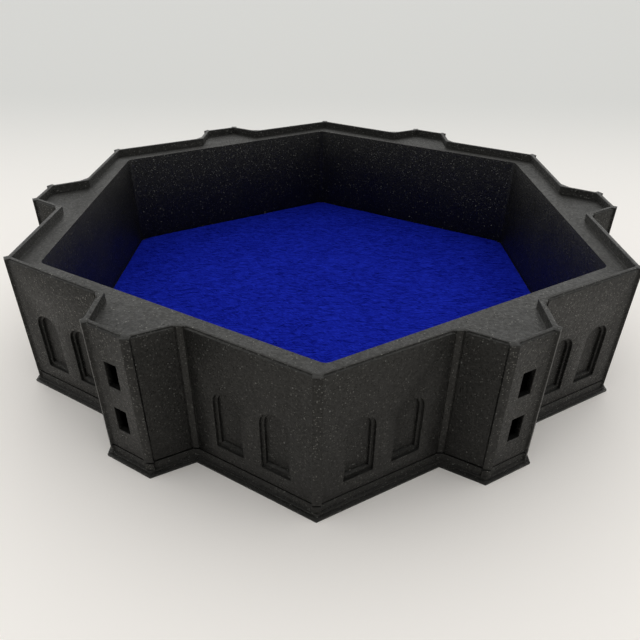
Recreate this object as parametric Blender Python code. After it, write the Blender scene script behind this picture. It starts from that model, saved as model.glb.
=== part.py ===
"""Hexagonal dice tray: a walled hexagon with a windowed bay in the middle of each side.

Four pieces, stacked from the bottom up: a base plate with a stepped foot, an adhesive
sheet, a felt mat in the base plate's shallow recess, and a wall ring that stands on the
base plate's rim.  Units are metres, +Z is up, and the origin is the centre of the
underside.  Two of the six hexagon corners lie on the Y axis.
"""
import math

import bmesh
import bpy
from mathutils import Matrix, Vector

# Driving dimensions ---------------------------------------------------------------
SIDES = 6
CORNER_RADIUS = 0.120          # centre to a corner of the outer wall hexagon
HEIGHT = 0.051                 # underside to the top of the parapet
FIRST_CORNER = math.radians(-90)

PARAPET_HEIGHT = 0.0032        # parapet above the ledge
PARAPET_THICKNESS = 0.0012
CASING_PROUD = 0.0007          # the wall faces stand out from the parapet's outer face
CASING_DROP = 0.0004           # and stop this far below its top
CAVITY_APOTHEM = 0.0958        # centre to an inner wall face
CAVITY_TWIST = math.radians(0.95)
CAVITY_CORNER = 0.0030         # radius of the upright inner corners

BAY_HALF_WIDTH = 0.0158        # half width of a bay where it leaves the wall
BAY_FRONT_HALF_WIDTH = 0.0080
BAY_DEPTH = 0.0127
BAY_SKIN = 0.0018              # thickness of a bay's front, which its windows pierce
WELL_HALF_WIDTH = 0.0068       # the hollow behind each bay front
WELL_DEPTH = 0.0150
WELL_ROOF = 0.0020             # material left between a hollow and the ledge

POST_HALF_WIDTH = 0.0014       # square posts on every outward corner
POST_PROUD = 0.00095
FILLET_SETBACK = 0.00135       # flat strips across every inward corner
SIDE_GROOVE_WIDTH = 0.00035    # fine upright grooves on both sides of each corner strip
SIDE_GROOVE_DEPTH = 0.00030

FOOT_STEPS = ((0.0014, 0.0019), (0.0022, 0.0008))  # reach and height of each foot step
PLINTH_TOP = 0.0047            # top of the base plate's rim, where the wall ring stands
FLOOR_TOP = 0.0030             # bottom of the recess for the felt
JOINT_GAP = 0.0003             # clearance between neighbouring pieces
JOINT_GROOVE_TOP = 0.0053      # shadow line round the joint of ring and base plate
JOINT_GROOVE_DEPTH = 0.0007

ADHESIVE_THICKNESS = 0.0002
FELT_THICKNESS = 0.0012

# Blind arched windows: distances along a wall from its middle, heights from the floor
WINDOW_CENTRES = (0.0302, 0.0467)
WINDOW_HALF_WIDTH = 0.0050
WINDOW_SILL = 0.0103
WINDOW_SPRING = 0.0276
WINDOW_RECESS = 0.0010
PANE_INSET = 0.0010
PANE_SILL_RISE = 0.0011
PANE_RECESS = 0.0020
ARCH_STEPS = 12

# Openings in each bay front
BAY_WINDOW_HALF_WIDTH = 0.0024
BAY_WINDOW_SPANS = ((0.0138, 0.0226), (0.0307, 0.0396))

CUT_MARGIN = 0.002             # how far a cutter runs past the faces it opens
CORNER_STEPS = 5

# Derived dimensions ---------------------------------------------------------------
SECTOR = 2 * math.pi / SIDES
WALL_APOTHEM = CORNER_RADIUS * math.cos(SECTOR / 2)
WALL_HALF_LENGTH = CORNER_RADIUS * math.sin(SECTOR / 2)
LEDGE_TOP = HEIGHT - PARAPET_HEIGHT
RING_BOTTOM = PLINTH_TOP + JOINT_GAP
ADHESIVE_BOTTOM = FLOOR_TOP + JOINT_GAP
FELT_BOTTOM = ADHESIVE_BOTTOM + ADHESIVE_THICKNESS + JOINT_GAP
WELL_FRONT = BAY_DEPTH + CASING_PROUD - BAY_SKIN


# Outlines -------------------------------------------------------------------------
def wall_point(side, along, out):
    """A plan point given by its distance along a wall and out from the wall face."""
    middle = FIRST_CORNER + (side + 0.5) * SECTOR
    normal = Vector((math.cos(middle), math.sin(middle)))
    tangent = Vector((-normal.y, normal.x))
    return normal * (WALL_APOTHEM + out) + tangent * along


def wall_outline():
    """The plain plan of the outer wall, anticlockwise: six corners and six bays."""
    points = []
    for side in range(SIDES):
        points.append(wall_point(side, -WALL_HALF_LENGTH, 0))
        points.append(wall_point(side, -BAY_HALF_WIDTH, 0))
        points.append(wall_point(side, -BAY_FRONT_HALF_WIDTH, BAY_DEPTH))
        points.append(wall_point(side, BAY_FRONT_HALF_WIDTH, BAY_DEPTH))
        points.append(wall_point(side, BAY_HALF_WIDTH, 0))
    return points


def corner_rays(points, index):
    """Unit vectors from a corner to its neighbours, and whether it points outward."""
    corner = points[index]
    back = (points[index - 1] - corner).normalized()
    ahead = (points[(index + 1) % len(points)] - corner).normalized()
    outward = back.cross(ahead) < 0
    return back, ahead, outward


def offset_outline(points, distance):
    """The outline moved outward by a distance, with mitred corners."""
    moved = []
    for index, corner in enumerate(points):
        back, ahead, outward = corner_rays(points, index)
        bisector = (back + ahead).normalized()
        direction = -bisector if outward else bisector
        reach = distance / abs(bisector.cross(back))
        moved.append(corner + direction * reach)
    return moved


def post_points(corner, back, ahead):
    """A square post over an outward corner: two wall points and two front corners."""
    bisector = (back + ahead).normalized()
    across = Vector((-bisector.y, bisector.x))
    if across.dot(ahead) < 0:
        across = -across
    run = POST_HALF_WIDTH / abs(bisector.cross(back))
    front = corner - bisector * POST_PROUD
    return [
        corner + back * run,
        front - across * POST_HALF_WIDTH,
        front + across * POST_HALF_WIDTH,
        corner + ahead * run,
    ]


def fillet_points(corner, back, ahead):
    """A flat strip across an inward corner."""
    bisector = (back + ahead).normalized()
    run = FILLET_SETBACK / bisector.dot(back)
    return [corner + back * run, corner + ahead * run]


def dressed_outline():
    """The outer wall's plan with its corner posts and corner strips."""
    plain = wall_outline()
    points = []
    for index, corner in enumerate(plain):
        back, ahead, outward = corner_rays(plain, index)
        dress = post_points if outward else fillet_points
        points += dress(corner, back, ahead)
    return points


def side_grooves():
    """A small rectangle on both sides of every corner strip, in the face of the casing."""
    plain = wall_outline()
    outlines = []
    for index, corner in enumerate(plain):
        back, ahead, outward = corner_rays(plain, index)
        if outward:
            continue
        bisector = (back + ahead).normalized()
        sine = abs(bisector.cross(back))
        cosine = bisector.dot(back)
        casing_corner = corner + bisector * (CASING_PROUD / sine)
        near = (FILLET_SETBACK - CASING_PROUD / sine) / cosine
        for ray in (back, ahead):
            out = (bisector - ray * cosine).normalized()
            start = casing_corner + ray * near
            end = start + ray * SIDE_GROOVE_WIDTH
            outlines.append([
                start + out * CUT_MARGIN,
                start - out * SIDE_GROOVE_DEPTH,
                end - out * SIDE_GROOVE_DEPTH,
                end + out * CUT_MARGIN,
            ])
    return outlines


def cavity_outline(inset):
    """The inner hexagon with rounded corners, its faces moved inward by an inset."""
    radius = max(CAVITY_CORNER - inset, CAVITY_CORNER / 2)
    centre_radius = (CAVITY_APOTHEM - inset - radius) / math.cos(SECTOR / 2)
    points = []
    for side in range(SIDES):
        corner_angle = FIRST_CORNER + CAVITY_TWIST + side * SECTOR
        centre = Vector((math.cos(corner_angle), math.sin(corner_angle))) * centre_radius
        for step in range(CORNER_STEPS + 1):
            angle = corner_angle + SECTOR * (step / CORNER_STEPS - 0.5)
            points.append(centre + Vector((math.cos(angle), math.sin(angle))) * radius)
    return points


def arch_outline(middle, half_width, sill, spring):
    """A round-headed window in a wall's own plane, x along the wall and y up."""
    points = [Vector((middle - half_width, sill)), Vector((middle + half_width, sill))]
    for step in range(ARCH_STEPS + 1):
        angle = math.pi * step / ARCH_STEPS
        x = middle + half_width * math.cos(angle)
        y = spring + half_width * math.sin(angle)
        points.append(Vector((x, y)))
    return points


def box_outline(x_low, x_high, y_low, y_high):
    """A rectangle, anticlockwise."""
    return [
        Vector((x_low, y_low)),
        Vector((x_high, y_low)),
        Vector((x_high, y_high)),
        Vector((x_low, y_high)),
    ]


# Solids ---------------------------------------------------------------------------
def extrude_outlines(outlines, low, high):
    """A mesh between two heights over flat outlines; an outline inside another is a hole."""
    curve = bpy.data.curves.new("outline", 'CURVE')
    curve.dimensions = '2D'
    curve.fill_mode = 'BOTH'
    curve.extrude = (high - low) / 2
    for outline in outlines:
        spline = curve.splines.new('POLY')
        spline.points.add(len(outline) - 1)
        for point, place in zip(spline.points, outline):
            point.co = (place.x, place.y, 0, 1)
        spline.use_cyclic_u = True
    guide = bpy.data.objects.new("outline", curve)
    bpy.context.scene.collection.objects.link(guide)
    evaluated = guide.evaluated_get(bpy.context.evaluated_depsgraph_get())
    mesh = bpy.data.meshes.new_from_object(evaluated)
    bpy.data.objects.remove(guide)
    bpy.data.curves.remove(curve)

    solid = bmesh.new()
    solid.from_mesh(mesh)
    bmesh.ops.remove_doubles(solid, verts=solid.verts, dist=1e-6)
    bmesh.ops.dissolve_limit(
        solid, angle_limit=math.radians(0.5), verts=solid.verts, edges=solid.edges)
    bmesh.ops.translate(solid, verts=solid.verts, vec=(0, 0, (high + low) / 2))
    bmesh.ops.recalc_face_normals(solid, faces=solid.faces)
    solid.to_mesh(mesh)
    solid.free()
    mesh.materials.clear()
    return mesh


def wall_frame(side):
    """Places a wall's own plane: x along the wall, y up, z out from the wall face."""
    middle = FIRST_CORNER + (side + 0.5) * SECTOR
    normal = Vector((math.cos(middle), math.sin(middle), 0))
    tangent = Vector((-normal.y, normal.x, 0))
    frame = Matrix((tangent, (0, 0, 1), normal)).transposed().to_4x4()
    return Matrix.Translation(normal * WALL_APOTHEM) @ frame


def on_every_wall(name, mesh):
    """One mesh holding a copy of a wall-plane mesh on each of the six walls."""
    joined = bmesh.new()
    for side in range(SIDES):
        copy = mesh.copy()
        copy.transform(wall_frame(side))
        joined.from_mesh(copy)
        bpy.data.meshes.remove(copy)
    result = bpy.data.meshes.new(name)
    joined.to_mesh(result)
    joined.free()
    bpy.data.meshes.remove(mesh)
    return result


def add_object(name, mesh, collection):
    """Links a mesh into a collection as a named object."""
    mesh.name = name
    item = bpy.data.objects.new(name, mesh)
    collection.objects.link(item)
    return item


def add_cutter(name, mesh, collection):
    """Links a mesh as a helper that only shapes other objects."""
    cutter = add_object(name, mesh, collection)
    cutter.display_type = 'WIRE'
    cutter.hide_render = True
    return cutter


def combine(item, helper, operation):
    """Adds an exact Boolean modifier."""
    boolean = item.modifiers.new(helper.name, 'BOOLEAN')
    boolean.operation = operation
    boolean.solver = 'EXACT'
    boolean.object = helper


def make_material(name, colour, roughness):
    """A plain Principled material."""
    material = bpy.data.materials.new(name)
    material.use_nodes = True
    shader = material.node_tree.nodes["Principled BSDF"]
    shader.inputs["Base Color"].default_value = (*colour, 1)
    shader.inputs["Roughness"].default_value = roughness
    shader.inputs["Metallic"].default_value = 0.0
    material.diffuse_color = (*colour, 1)
    return material


# Pieces ---------------------------------------------------------------------------
def make_base_plate(parts, cutters, material):
    """Floor slab: plinth up to the joint, two foot steps, and a recess for the felt."""
    plain = wall_outline()
    plinth = extrude_outlines([offset_outline(plain, CASING_PROUD)], 0, PLINTH_TOP)
    base = add_object("base_plate", plinth, parts)
    base.data.materials.append(material)

    dressing = extrude_outlines([dressed_outline()], FOOT_STEPS[0][1] / 2, PLINTH_TOP)
    combine(base, add_cutter("plinth_posts", dressing, cutters), 'UNION')
    for number, (reach, height) in enumerate(FOOT_STEPS, start=1):
        step = extrude_outlines([offset_outline(plain, reach)], 0, height)
        combine(base, add_cutter(f"foot_step_{number}", step, cutters), 'UNION')

    recess = extrude_outlines([cavity_outline(0)], FLOOR_TOP, PLINTH_TOP + CUT_MARGIN)
    combine(base, add_cutter("felt_recess", recess, cutters), 'DIFFERENCE')
    return base


def make_sheet(name, inset, low, thickness, parts, material):
    """A flat hexagonal sheet that lies in the felt recess."""
    mesh = extrude_outlines([cavity_outline(inset)], low, low + thickness)
    sheet = add_object(name, mesh, parts)
    sheet.data.materials.append(material)
    return sheet


def cut_ledge(ring, cutters):
    """Sinks the ledge behind the thin parapet."""
    inside = offset_outline(wall_outline(), -PARAPET_THICKNESS)
    mesh = extrude_outlines([inside], LEDGE_TOP, HEIGHT + CUT_MARGIN)
    combine(ring, add_cutter("ledge_recess", mesh, cutters), 'DIFFERENCE')


def cut_joint_groove(ring, cutters):
    """Sets the ring's lowest edge back to leave a shadow line above the base plate."""
    plain = wall_outline()
    outside = offset_outline(plain, POST_PROUD + CUT_MARGIN)
    inside = offset_outline(plain, CASING_PROUD - JOINT_GROOVE_DEPTH)
    mesh = extrude_outlines([outside, inside], RING_BOTTOM - CUT_MARGIN, JOINT_GROOVE_TOP)
    combine(ring, add_cutter("joint_groove", mesh, cutters), 'DIFFERENCE')


def cut_side_grooves(ring, cutters):
    """Sets every corner strip off from the faces beside it."""
    mesh = extrude_outlines(side_grooves(), RING_BOTTOM - CUT_MARGIN, HEIGHT)
    combine(ring, add_cutter("side_grooves", mesh, cutters), 'DIFFERENCE')


def cut_arched_windows(ring, cutters):
    """Four blind windows on each wall, each a shallow recess with a deeper pane."""
    centres = [sign * centre for centre in WINDOW_CENTRES for sign in (-1, 1)]
    frames = [
        arch_outline(centre, WINDOW_HALF_WIDTH, WINDOW_SILL, WINDOW_SPRING)
        for centre in centres
    ]
    panes = [
        arch_outline(
            centre, WINDOW_HALF_WIDTH - PANE_INSET, WINDOW_SILL + PANE_SILL_RISE, WINDOW_SPRING)
        for centre in centres
    ]
    for name, outlines, depth in (
            ("window_frames", frames, WINDOW_RECESS), ("window_panes", panes, PANE_RECESS)):
        mesh = extrude_outlines(outlines, CASING_PROUD - depth, CASING_PROUD + CUT_MARGIN)
        combine(ring, add_cutter(name, on_every_wall(name, mesh), cutters), 'DIFFERENCE')


def cut_bays(ring, cutters):
    """Hollows each bay behind its front, and pierces the front with two windows."""
    well_top = LEDGE_TOP - WELL_ROOF
    well = extrude_outlines(
        [box_outline(-WELL_HALF_WIDTH, WELL_HALF_WIDTH, RING_BOTTOM - CUT_MARGIN, well_top)],
        WELL_FRONT - WELL_DEPTH, WELL_FRONT)
    combine(ring, add_cutter("bay_wells", on_every_wall("bay_wells", well), cutters), 'DIFFERENCE')

    outlines = [
        box_outline(-BAY_WINDOW_HALF_WIDTH, BAY_WINDOW_HALF_WIDTH, low, high)
        for low, high in BAY_WINDOW_SPANS
    ]
    windows = extrude_outlines(
        outlines, WELL_FRONT - CUT_MARGIN, WELL_FRONT + BAY_SKIN + CUT_MARGIN)
    combine(
        ring, add_cutter("bay_windows", on_every_wall("bay_windows", windows), cutters),
        'DIFFERENCE')


def make_wall_ring(parts, cutters, material):
    """The outer wall: posts, strips, proud faces, bays, windows, ledge and parapet."""
    mesh = extrude_outlines([dressed_outline(), cavity_outline(0)], RING_BOTTOM, HEIGHT)
    ring = add_object("wall_ring", mesh, parts)
    ring.data.materials.append(material)
    casing = extrude_outlines(
        [offset_outline(wall_outline(), CASING_PROUD), cavity_outline(0)],
        RING_BOTTOM, HEIGHT - CASING_DROP)
    combine(ring, add_cutter("casing", casing, cutters), 'UNION')
    cut_ledge(ring, cutters)
    cut_joint_groove(ring, cutters)
    cut_side_grooves(ring, cutters)
    cut_arched_windows(ring, cutters)
    cut_bays(ring, cutters)
    return ring


def main():
    for item in list(bpy.data.objects):
        bpy.data.objects.remove(item)
    parts = bpy.data.collections.new("dice_tray")
    cutters = bpy.data.collections.new("cutters")
    bpy.context.scene.collection.children.link(parts)
    bpy.context.scene.collection.children.link(cutters)

    plastic = make_material("charcoal_plastic", (0.022, 0.022, 0.021), 0.55)
    felt_blue = make_material("blue_felt", (0.006, 0.012, 0.36), 0.95)
    adhesive = make_material("adhesive_film", (0.80, 0.78, 0.70), 0.35)

    make_base_plate(parts, cutters, plastic)
    make_sheet(
        "felt_adhesive", 2 * JOINT_GAP, ADHESIVE_BOTTOM, ADHESIVE_THICKNESS, parts, adhesive)
    make_sheet("felt_mat", JOINT_GAP, FELT_BOTTOM, FELT_THICKNESS, parts, felt_blue)
    make_wall_ring(parts, cutters, plastic)


main()
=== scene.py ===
"""Looks for the hexagonal dice tray: glitter-plastic print, felt floor, plain table, soft light."""

import math
import random

import bmesh
import bpy
from mathutils import Matrix, Vector, noise


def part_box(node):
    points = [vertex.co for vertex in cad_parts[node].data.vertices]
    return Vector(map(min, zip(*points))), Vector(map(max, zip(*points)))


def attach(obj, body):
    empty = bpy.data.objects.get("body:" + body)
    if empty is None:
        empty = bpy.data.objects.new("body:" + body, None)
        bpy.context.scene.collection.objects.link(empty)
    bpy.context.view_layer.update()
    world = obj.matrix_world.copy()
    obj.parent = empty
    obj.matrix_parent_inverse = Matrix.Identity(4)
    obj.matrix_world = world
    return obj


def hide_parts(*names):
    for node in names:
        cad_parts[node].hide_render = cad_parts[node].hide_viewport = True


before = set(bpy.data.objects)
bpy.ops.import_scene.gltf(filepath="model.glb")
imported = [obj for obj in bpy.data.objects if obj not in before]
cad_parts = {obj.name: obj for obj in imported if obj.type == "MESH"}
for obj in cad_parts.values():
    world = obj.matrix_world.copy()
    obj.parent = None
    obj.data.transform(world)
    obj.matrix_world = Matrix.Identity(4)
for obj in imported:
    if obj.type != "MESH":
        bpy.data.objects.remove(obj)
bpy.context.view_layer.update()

BODY = "root"
CORNER_RADIUS = 0.120
SEED = 11

# Camera, in corner radii from the centre of the underside
CAMERA_PLACE = Vector((0.0098, -1.9346, 1.1633)) * CORNER_RADIUS
CAMERA_YAW = -0.0170
CAMERA_PITCH = 0.5673
CAMERA_ROLL = 0.0072
FOCAL_SHARE = 588.0 / 640.0
SENSOR_WIDTH = 36.0
SHIFT_X = 0.0073
SHIFT_Y = -0.0053

# Soft room light by direction: how bright the overhead, middle and low bands are
LIGHT_TOP = 1.22
LIGHT_MIDDLE = {"back": 1.60, "front": 0.06, "left": 0.70, "right": 0.66}
LIGHT_LOW = {"back": 1.20, "front": 0.12, "left": 1.30, "right": 1.50}
BAND_LOW = (0.22, 0.50)        # sine of elevation where low turns into middle
BAND_HIGH = (0.60, 0.88)       # and where middle turns into overhead
LIGHT_TINT = (1.0, 1.0, 0.985)
BACKDROP = 0.72                # plain backdrop above the table

FLOOR_HALF_SIZE = 6.0
# painted light on the floor: lighter and warmer in front of the tray, darker behind it
FLOOR_NEAR_PAINTED_LIGHT = (0.96, 0.925, 0.89, 1)
FLOOR_FAR_PAINTED_SHADE = (0.66, 0.66, 0.645, 1)

# Printed plastic
EDGE_ROUNDING = 0.00013
LAYER_HEIGHT = 0.0002
LINE_WIDTH = 0.00042

# Felt, with its loose fibres
FELT_DARK = (0.0015, 0.0048, 0.195, 1)
FELT_LIGHT = (0.0125, 0.0300, 0.540, 1)
FELT_GRID = 0.0030
FELT_SWELL = 0.00016           # how far the felt's surface rises and dips
STRAND_COUNT = 5200
STRAND_LENGTH = (0.0015, 0.0055)
STRAND_RADIUS = 0.000045


# Camera ---------------------------------------------------------------------------
def add_camera():
    forward = Vector((
        math.sin(CAMERA_YAW) * math.cos(CAMERA_PITCH),
        math.cos(CAMERA_YAW) * math.cos(CAMERA_PITCH),
        -math.sin(CAMERA_PITCH)))
    right = Vector((math.cos(CAMERA_YAW), -math.sin(CAMERA_YAW), 0))
    up = right.cross(forward)
    rolled_right = right * math.cos(CAMERA_ROLL) + up * math.sin(CAMERA_ROLL)
    rolled_up = up * math.cos(CAMERA_ROLL) - right * math.sin(CAMERA_ROLL)
    turn = Matrix((rolled_right, rolled_up, -forward)).transposed()
    data = bpy.data.cameras.new("camera")
    data.sensor_width = SENSOR_WIDTH
    data.lens = FOCAL_SHARE * SENSOR_WIDTH
    data.shift_x = SHIFT_X
    data.shift_y = SHIFT_Y
    data.clip_start = 0.01
    data.clip_end = 50
    camera = bpy.data.objects.new("camera", data)
    camera.matrix_world = Matrix.Translation(CAMERA_PLACE) @ turn.to_4x4()
    bpy.context.scene.collection.objects.link(camera)
    bpy.context.scene.camera = camera


# Node helpers ---------------------------------------------------------------------
class Nodes:
    """A short way to write a node tree: each call adds a node and returns its output."""

    def __init__(self, tree):
        self.tree = tree

    def add(self, kind, inputs=(), output=0, **settings):
        node = self.tree.nodes.new(kind)
        for name, value in settings.items():
            setattr(node, name, value)
        for key, value in dict(inputs).items():
            socket = node.inputs[key]
            if isinstance(value, bpy.types.NodeSocket):
                self.tree.links.new(value, socket)
            else:
                socket.default_value = value
        return node.outputs[output]

    def math(self, operation, first, second=0.0, third=0.0, clamp=False):
        return self.add(
            "ShaderNodeMath", {0: first, 1: second, 2: third}, operation=operation, use_clamp=clamp)

    def ramp(self, value, low, high, to_low=0.0, to_high=1.0, smooth=True):
        return self.add(
            "ShaderNodeMapRange",
            {"Value": value, "From Min": low, "From Max": high, "To Min": to_low, "To Max": to_high},
            interpolation_type="SMOOTHSTEP" if smooth else "LINEAR", clamp=True)

    def mix(self, factor, first, second):
        node = self.tree.nodes.new("ShaderNodeMix")
        node.data_type = "RGBA"
        for socket, value in ((node.inputs[0], factor), (node.inputs[6], first), (node.inputs[7], second)):
            if isinstance(value, bpy.types.NodeSocket):
                self.tree.links.new(value, socket)
            else:
                socket.default_value = value
        return node.outputs[2]

    def noise(self, place, scale, detail=2.0, roughness=0.5, output=0):
        return self.add(
            "ShaderNodeTexNoise",
            {"Vector": place, "Scale": scale, "Detail": detail, "Roughness": roughness}, output)


def new_material(name):
    material = bpy.data.materials.new(name)
    material.use_nodes = True
    shader = material.node_tree.nodes["Principled BSDF"]
    return material, shader, Nodes(material.node_tree)


# Light and floor ------------------------------------------------------------------
def add_light():
    world = bpy.data.worlds.new("room")
    bpy.context.scene.world = world
    world.use_nodes = True
    n = Nodes(world.node_tree)
    direction = n.add("ShaderNodeTexCoord", output="Generated")
    split = n.tree.nodes.new("ShaderNodeSeparateXYZ")
    n.tree.links.new(direction, split.inputs[0])
    x, y, z = split.outputs
    flat = n.math("SQRT", n.math("ADD", n.math("MULTIPLY", x, x), n.math("MULTIPLY", y, y)))
    flat = n.math("MAXIMUM", flat, 1e-4)
    across = n.math("DIVIDE", x, flat)
    along = n.math("DIVIDE", y, flat)

    def facing(value, sign):
        part = n.math("MAXIMUM", n.math("MULTIPLY", value, sign), 0.0)
        return n.math("MULTIPLY", part, part)

    sides = {
        "back": facing(along, 1.0), "front": facing(along, -1.0),
        "left": facing(across, -1.0), "right": facing(across, 1.0)}

    def band(levels):
        total = 0.0
        for name, weight in levels.items():
            total = n.math("MULTIPLY_ADD", sides[name], weight, total)
        return total

    low_to_middle = n.ramp(z, *BAND_LOW)
    middle_to_top = n.ramp(z, *BAND_HIGH)
    middle = band(LIGHT_MIDDLE)
    low = band(LIGHT_LOW)
    lower = n.math("ADD", low, n.math("MULTIPLY", low_to_middle, n.math("SUBTRACT", middle, low)))
    strength = n.math(
        "ADD", lower, n.math("MULTIPLY", middle_to_top, n.math("SUBTRACT", LIGHT_TOP, lower)))
    seen = n.add("ShaderNodeLightPath", output="Is Camera Ray")
    strength = n.add(
        "ShaderNodeMix", {0: seen, 2: strength, 3: BACKDROP}, data_type="FLOAT")
    background = world.node_tree.nodes["Background"]
    background.inputs["Color"].default_value = (*LIGHT_TINT, 1)
    n.tree.links.new(strength, background.inputs["Strength"])
    bpy.context.scene.view_settings.view_transform = "Standard"


def add_floor():
    mesh = bpy.data.meshes.new("floor")
    half = FLOOR_HALF_SIZE
    mesh.from_pydata(
        [(-half, -half, 0), (half, -half, 0), (half, half, 0), (-half, half, 0)], [], [(0, 1, 2, 3)])
    floor = bpy.data.objects.new("floor", mesh)
    bpy.context.scene.collection.objects.link(floor)
    material, shader, n = new_material("floor")
    place = n.add("ShaderNodeTexCoord", output="Object")
    depth = n.add("ShaderNodeSeparateXYZ", {0: place}, output=1)
    # painted light: the floor's colour fades from the painted lit front to the painted shade further back
    colour = n.mix(n.ramp(depth, -0.05, 0.45), FLOOR_NEAR_PAINTED_LIGHT, FLOOR_FAR_PAINTED_SHADE)
    n.tree.links.new(colour, shader.inputs["Base Color"])
    shader.inputs["Roughness"].default_value = 0.9
    shader.inputs["Specular IOR Level"].default_value = 0.1
    mesh.materials.append(material)


# Materials ------------------------------------------------------------------------
def make_plastic():
    """Charcoal glitter filament: layer lines on the sides, extrusion lines on flat tops."""
    material, shader, n = new_material("glitter_plastic")
    place = n.add("ShaderNodeTexCoord", output="Object")
    normal = n.add("ShaderNodeNewGeometry", output="Normal")
    up = n.add("ShaderNodeSeparateXYZ", {0: normal}, output=2)
    flatness = n.ramp(n.math("ABSOLUTE", up), 0.75, 0.95)
    height = n.add("ShaderNodeSeparateXYZ", {0: place}, output=2)

    # layers, each a little different
    layer = n.math("DIVIDE", height, LAYER_HEIGHT)
    wobble = n.noise(place, 220.0, 2.0)
    layer_phase = n.math("MULTIPLY_ADD", wobble, 0.5, layer)
    ridge = n.math("ABSOLUTE", n.math("SINE", n.math("MULTIPLY", layer_phase, math.pi)))
    layer_tone = n.add(
        "ShaderNodeTexWhiteNoise", {"W": n.math("FLOOR", layer_phase)}, noise_dimensions="1D")

    # extrusion lines on the flat faces
    turned = n.add(
        "ShaderNodeVectorRotate", {"Vector": place, "Angle": math.radians(45)}, rotation_type="Z_AXIS")
    lane = n.math("DIVIDE", n.add("ShaderNodeSeparateXYZ", {0: turned}, output=0), LINE_WIDTH)
    lane_ridge = n.math("ABSOLUTE", n.math("SINE", n.math("MULTIPLY", lane, math.pi)))

    lines = n.add(
        "ShaderNodeMix", {0: flatness, 2: ridge, 3: lane_ridge}, data_type="FLOAT")
    grain = n.noise(place, 2600.0, 3.0, 0.6)
    relief = n.math("MULTIPLY_ADD", grain, 0.7, lines)

    # glitter flakes of two sizes, each turned its own way
    common = n.math("MULTIPLY_ADD", flatness, -0.75, 1.0)

    def flakes(size, share, reach):
        cell = n.tree.nodes.new("ShaderNodeTexVoronoi")
        cell.inputs["Scale"].default_value = 1 / size
        n.tree.links.new(place, cell.inputs["Vector"])
        own = n.tree.nodes.new("ShaderNodeTexWhiteNoise")
        n.tree.links.new(cell.outputs["Position"], own.inputs["Vector"])
        least = n.math("MULTIPLY_ADD", common, -share, 1.0)
        chosen = n.math("GREATER_THAN", own.outputs["Value"], least)
        near = n.math("LESS_THAN", cell.outputs["Distance"], reach)
        return n.math("MULTIPLY", chosen, near), cell.outputs["Color"]

    fine, fine_random = flakes(0.00042, 0.30, 0.48)
    coarse, coarse_random = flakes(0.0010, 0.04, 0.25)
    speck = n.math("MAXIMUM", fine, coarse)
    speck_random = n.mix(coarse, fine_random, coarse_random)
    tilt = n.add(
        "ShaderNodeVectorMath", {0: speck_random, 1: (0.5, 0.5, 0.5)}, operation="SUBTRACT")
    tilt = n.add("ShaderNodeVectorMath", {0: tilt, "Scale": speck}, operation="SCALE")

    cloud = n.noise(place, 55.0, 3.0)
    tone = n.math("MULTIPLY_ADD", cloud, 0.5, 0.75)
    tone = n.math("MULTIPLY_ADD", layer_tone, 0.12, tone)
    mottle = n.ramp(n.noise(place, 1100.0, 2.0), 0.35, 0.68, 0.0, 1.0, smooth=False)
    tone = n.math("MULTIPLY", tone, n.math("MULTIPLY_ADD", mottle, 1.6, 0.3))
    dark = n.add("ShaderNodeVectorMath", {0: (0.0040, 0.0040, 0.0038), "Scale": tone}, operation="SCALE")
    fleck = n.mix(
        n.math("POWER", n.add("ShaderNodeSeparateColor", {0: speck_random}, output=1), 2.2),
        (0.018, 0.018, 0.017, 1), (0.145, 0.145, 0.134, 1))
    n.tree.links.new(n.mix(speck, dark, fleck), shader.inputs["Base Color"])
    n.tree.links.new(n.math("MULTIPLY", speck, 0.9), shader.inputs["Metallic"])
    rough = n.math("MULTIPLY_ADD", mottle, -0.16, n.ramp(cloud, 0.3, 0.7, 0.50, 0.60, smooth=False))
    rough = n.math("MULTIPLY_ADD", speck, -0.10, rough)
    n.tree.links.new(rough, shader.inputs["Roughness"])
    shader.inputs["Specular IOR Level"].default_value = 0.32
    shader.inputs["Specular Tint"].default_value = (1.0, 0.985, 0.93, 1)

    bumped = n.add("ShaderNodeBump", {"Height": relief, "Strength": 0.55, "Distance": 0.00003})
    bumped = n.add(
        "ShaderNodeBump",
        {"Height": mottle, "Strength": 0.6, "Distance": 0.00008, "Normal": bumped})
    bent = n.add("ShaderNodeVectorMath", {0: bumped, 1: tilt}, operation="ADD")
    bent = n.add("ShaderNodeVectorMath", {0: bent}, operation="NORMALIZE")
    n.tree.links.new(bent, shader.inputs["Normal"])
    return material


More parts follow.
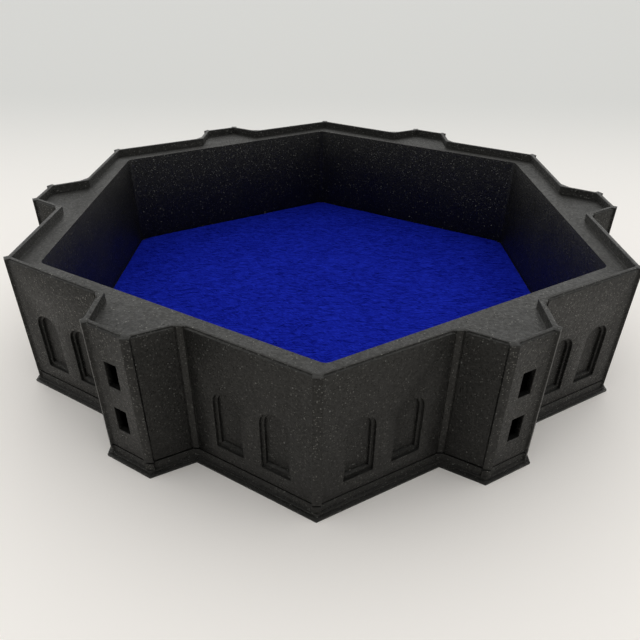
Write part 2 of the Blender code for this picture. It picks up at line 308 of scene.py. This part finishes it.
def make_felt():
    """Royal blue craft felt: matted fibres that mostly lie one way, with paler clumps."""
    material, shader, n = new_material("blue_felt")
    place = n.add("ShaderNodeTexCoord", output="Object")
    warp = n.add(
        "ShaderNodeTexNoise", {"Vector": place, "Scale": 130.0, "Detail": 3.0}, output=1)
    warp = n.add("ShaderNodeVectorMath", {0: warp, "Scale": 0.0022}, operation="SCALE")
    swirled = n.add("ShaderNodeVectorMath", {0: place, 1: warp}, operation="ADD")

    def strands(angle, thin, long):
        turned = n.add(
            "ShaderNodeVectorRotate", {"Vector": swirled, "Angle": angle}, rotation_type="Z_AXIS")
        stretched = n.add(
            "ShaderNodeVectorMath", {0: turned, 1: (long, thin, thin)}, operation="MULTIPLY")
        return n.noise(stretched, 1.0, 3.0, 0.6)

    fibre = n.math("MAXIMUM", strands(0.10, 1500.0, 170.0), strands(-0.22, 1900.0, 210.0))
    fibre = n.math("MAXIMUM", fibre, strands(0.75, 2200.0, 420.0))
    clump = n.noise(place, 700.0, 3.0)
    broad = n.noise(place, 30.0, 2.0)
    tone = n.ramp(fibre, 0.42, 0.82)
    tone = n.math("MULTIPLY_ADD", n.math("SUBTRACT", clump, 0.5), 0.35, tone)
    tone = n.math("MULTIPLY_ADD", n.math("SUBTRACT", broad, 0.5), 0.25, tone, clamp=True)
    colour = n.mix(tone, FELT_DARK, FELT_LIGHT)
    n.tree.links.new(colour, shader.inputs["Base Color"])
    shader.inputs["Roughness"].default_value = 0.95
    shader.inputs["Specular IOR Level"].default_value = 0.03
    shader.inputs["Sheen Weight"].default_value = 0.02
    shader.inputs["Sheen Roughness"].default_value = 0.5
    shader.inputs["Sheen Tint"].default_value = (0.25, 0.35, 1.0, 1)
    relief = n.math("MULTIPLY_ADD", clump, 0.5, fibre)
    bumped = n.add("ShaderNodeBump", {"Height": relief, "Strength": 0.7, "Distance": 0.0002})
    n.tree.links.new(bumped, shader.inputs["Normal"])
    return material


def make_film():
    """Thin double-sided adhesive: pale, slightly mottled film."""
    material, shader, n = new_material("adhesive_film")
    place = n.add("ShaderNodeTexCoord", output="Object")
    cloud = n.noise(place, 120.0, 3.0)
    colour = n.mix(n.ramp(cloud, 0.35, 0.65), (0.70, 0.68, 0.58, 1), (0.80, 0.79, 0.72, 1))
    n.tree.links.new(colour, shader.inputs["Base Color"])
    n.tree.links.new(n.ramp(cloud, 0.3, 0.7, 0.30, 0.45), shader.inputs["Roughness"])
    bumped = n.add("ShaderNodeBump", {"Height": cloud, "Strength": 0.3, "Distance": 0.00005})
    n.tree.links.new(bumped, shader.inputs["Normal"])
    return material


# Pieces ---------------------------------------------------------------------------
def add_piece(name, mesh, material):
    piece = bpy.data.objects.new(name, mesh)
    bpy.context.scene.collection.objects.link(piece)
    mesh.materials.clear()
    mesh.materials.append(material)
    return piece


def round_print(node, name, material):
    """A finer copy of a printed CAD node: its edges rounded as a nozzle leaves them."""
    source = bpy.data.objects[node]
    mesh = source.data.copy()
    work = bmesh.new()
    work.from_mesh(mesh)
    bmesh.ops.remove_doubles(work, verts=work.verts, dist=1e-6)
    upright = [
        edge for edge in work.edges
        if all(abs(face.normal.z) < 0.5 for face in edge.link_faces)]
    bmesh.ops.dissolve_limit(
        work, angle_limit=math.radians(1.0), verts=work.verts, edges=upright)
    bmesh.ops.recalc_face_normals(work, faces=work.faces)
    work.to_mesh(mesh)
    work.free()
    piece = add_piece(name, mesh, material)
    bevel = piece.modifiers.new("rounding", "BEVEL")
    bevel.width = EDGE_ROUNDING
    bevel.segments = 2
    bevel.limit_method = "ANGLE"
    bevel.angle_limit = math.radians(28)
    bevel.use_clamp_overlap = False
    bevel.miter_outer = "MITER_ARC"
    evaluated = piece.evaluated_get(bpy.context.evaluated_depsgraph_get())
    rounded = bpy.data.meshes.new_from_object(evaluated)
    piece.modifiers.clear()
    piece.data = rounded
    rounded.shade_smooth()
    rounded.set_sharp_from_angle(angle=math.radians(32))
    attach(piece, BODY)
    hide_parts(node)
    return piece


def make_felt_sheet(node, material):
    """The felt as cloth: a fine grid over the cut shape, gently uneven, with a soft edge."""
    source = bpy.data.objects[node]
    mesh = source.data.copy()
    work = bmesh.new()
    work.from_mesh(mesh)
    bmesh.ops.remove_doubles(work, verts=work.verts, dist=1e-6)
    box_low, box_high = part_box(node)
    for axis in (0, 1):
        steps = int((box_high[axis] - box_low[axis]) / FELT_GRID)
        for step in range(1, steps + 1):
            point = Vector((0, 0, 0))
            point[axis] = box_low[axis] + step * FELT_GRID
            direction = Vector((0, 0, 0))
            direction[axis] = 1
            bmesh.ops.bisect_plane(
                work, geom=work.verts[:] + work.edges[:] + work.faces[:],
                plane_co=point, plane_no=direction)
    top, bottom = box_high[2], box_low[2]
    work.verts.ensure_lookup_table()
    for vertex in work.verts:
        if vertex.co.z < (top + bottom) / 2:
            continue
        side = any(abs(face.normal.z) < 0.5 for face in vertex.link_faces)
        swell = noise.noise(vertex.co * 90) + 0.5 * noise.noise(vertex.co * 260)
        vertex.co.z += FELT_SWELL * swell - (0.00030 if side else 0.0)
    bmesh.ops.recalc_face_normals(work, faces=work.faces)
    work.to_mesh(mesh)
    work.free()
    cloth = add_piece("felt_cloth", mesh, material)
    mesh.shade_smooth()
    mesh.set_sharp_from_angle(angle=math.radians(50))
    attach(cloth, BODY)
    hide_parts(node)
    return cloth


def make_strands(node, material):
    """Loose fibres on the felt: fine three-sided threads, each lying in a slight curve."""
    chance = random.Random(SEED)
    box_low, box_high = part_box(node)
    outline = [
        vertex.co.copy() for vertex in bpy.data.objects[node].data.vertices
        if vertex.co.z > (box_low[2] + box_high[2]) / 2]
    reach = min(place.xy.length for place in outline) * math.cos(math.pi / 6)
    front = min(outline, key=lambda place: place.y)
    turn = math.atan2(front.y, front.x) + math.pi / 2
    mesh = bpy.data.meshes.new("felt_strands")
    points = []
    faces = []
    made = 0
    while made < STRAND_COUNT:
        x = chance.uniform(box_low[0], box_high[0])
        y = chance.uniform(box_low[1], box_high[1])
        length = chance.uniform(*STRAND_LENGTH)
        inside = True
        for side in range(6):
            angle = turn + math.pi * side / 3
            if x * math.cos(angle) + y * math.sin(angle) > reach - length / 2 - 0.001:
                inside = False
        if not inside:
            continue
        made += 1
        heading = chance.gauss(0.0, 0.45)
        bend = chance.uniform(-0.9, 0.9)
        rise = chance.uniform(0.0, 0.00022)
        first = len(points)
        for step in range(5):
            along = (step / 4 - 0.5) * length
            angle = heading + bend * (step / 4 - 0.5)
            centre = Vector((
                x + along * math.cos(angle), y + along * math.sin(angle),
                box_high[2] + 0.00004 + rise * math.sin(math.pi * step / 4)))
            across = Vector((-math.sin(angle), math.cos(angle), 0))
            width = STRAND_RADIUS * (0.35 if step in (0, 4) else 1.0)
            for spoke in range(3):
                around = math.tau * spoke / 3
                points.append(
                    centre + across * (width * math.cos(around))
                    + Vector((0, 0, width * math.sin(around))))
            if step:
                ring = first + step * 3
                for spoke in range(3):
                    after = (spoke + 1) % 3
                    faces.append((ring - 3 + spoke, ring - 3 + after, ring + after, ring + spoke))
        faces.append((first + 2, first + 1, first))
        last = first + 12
        faces.append((last, last + 1, last + 2))
    mesh.from_pydata(points, [], faces)
    mesh.shade_smooth()
    strands = add_piece("felt_strands", mesh, material)
    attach(strands, BODY)
    return strands


add_camera()
add_light()
add_floor()
plastic = make_plastic()
felt = make_felt()
film = make_film()
round_print("wall_ring", "ring_print", plastic)
round_print("base_plate", "base_print", plastic)
strands = make_strands("felt_mat", felt)
cloth = make_felt_sheet("felt_mat", felt)
adhesive = bpy.data.objects["felt_adhesive"]
adhesive.data.materials.clear()
adhesive.data.materials.append(film)
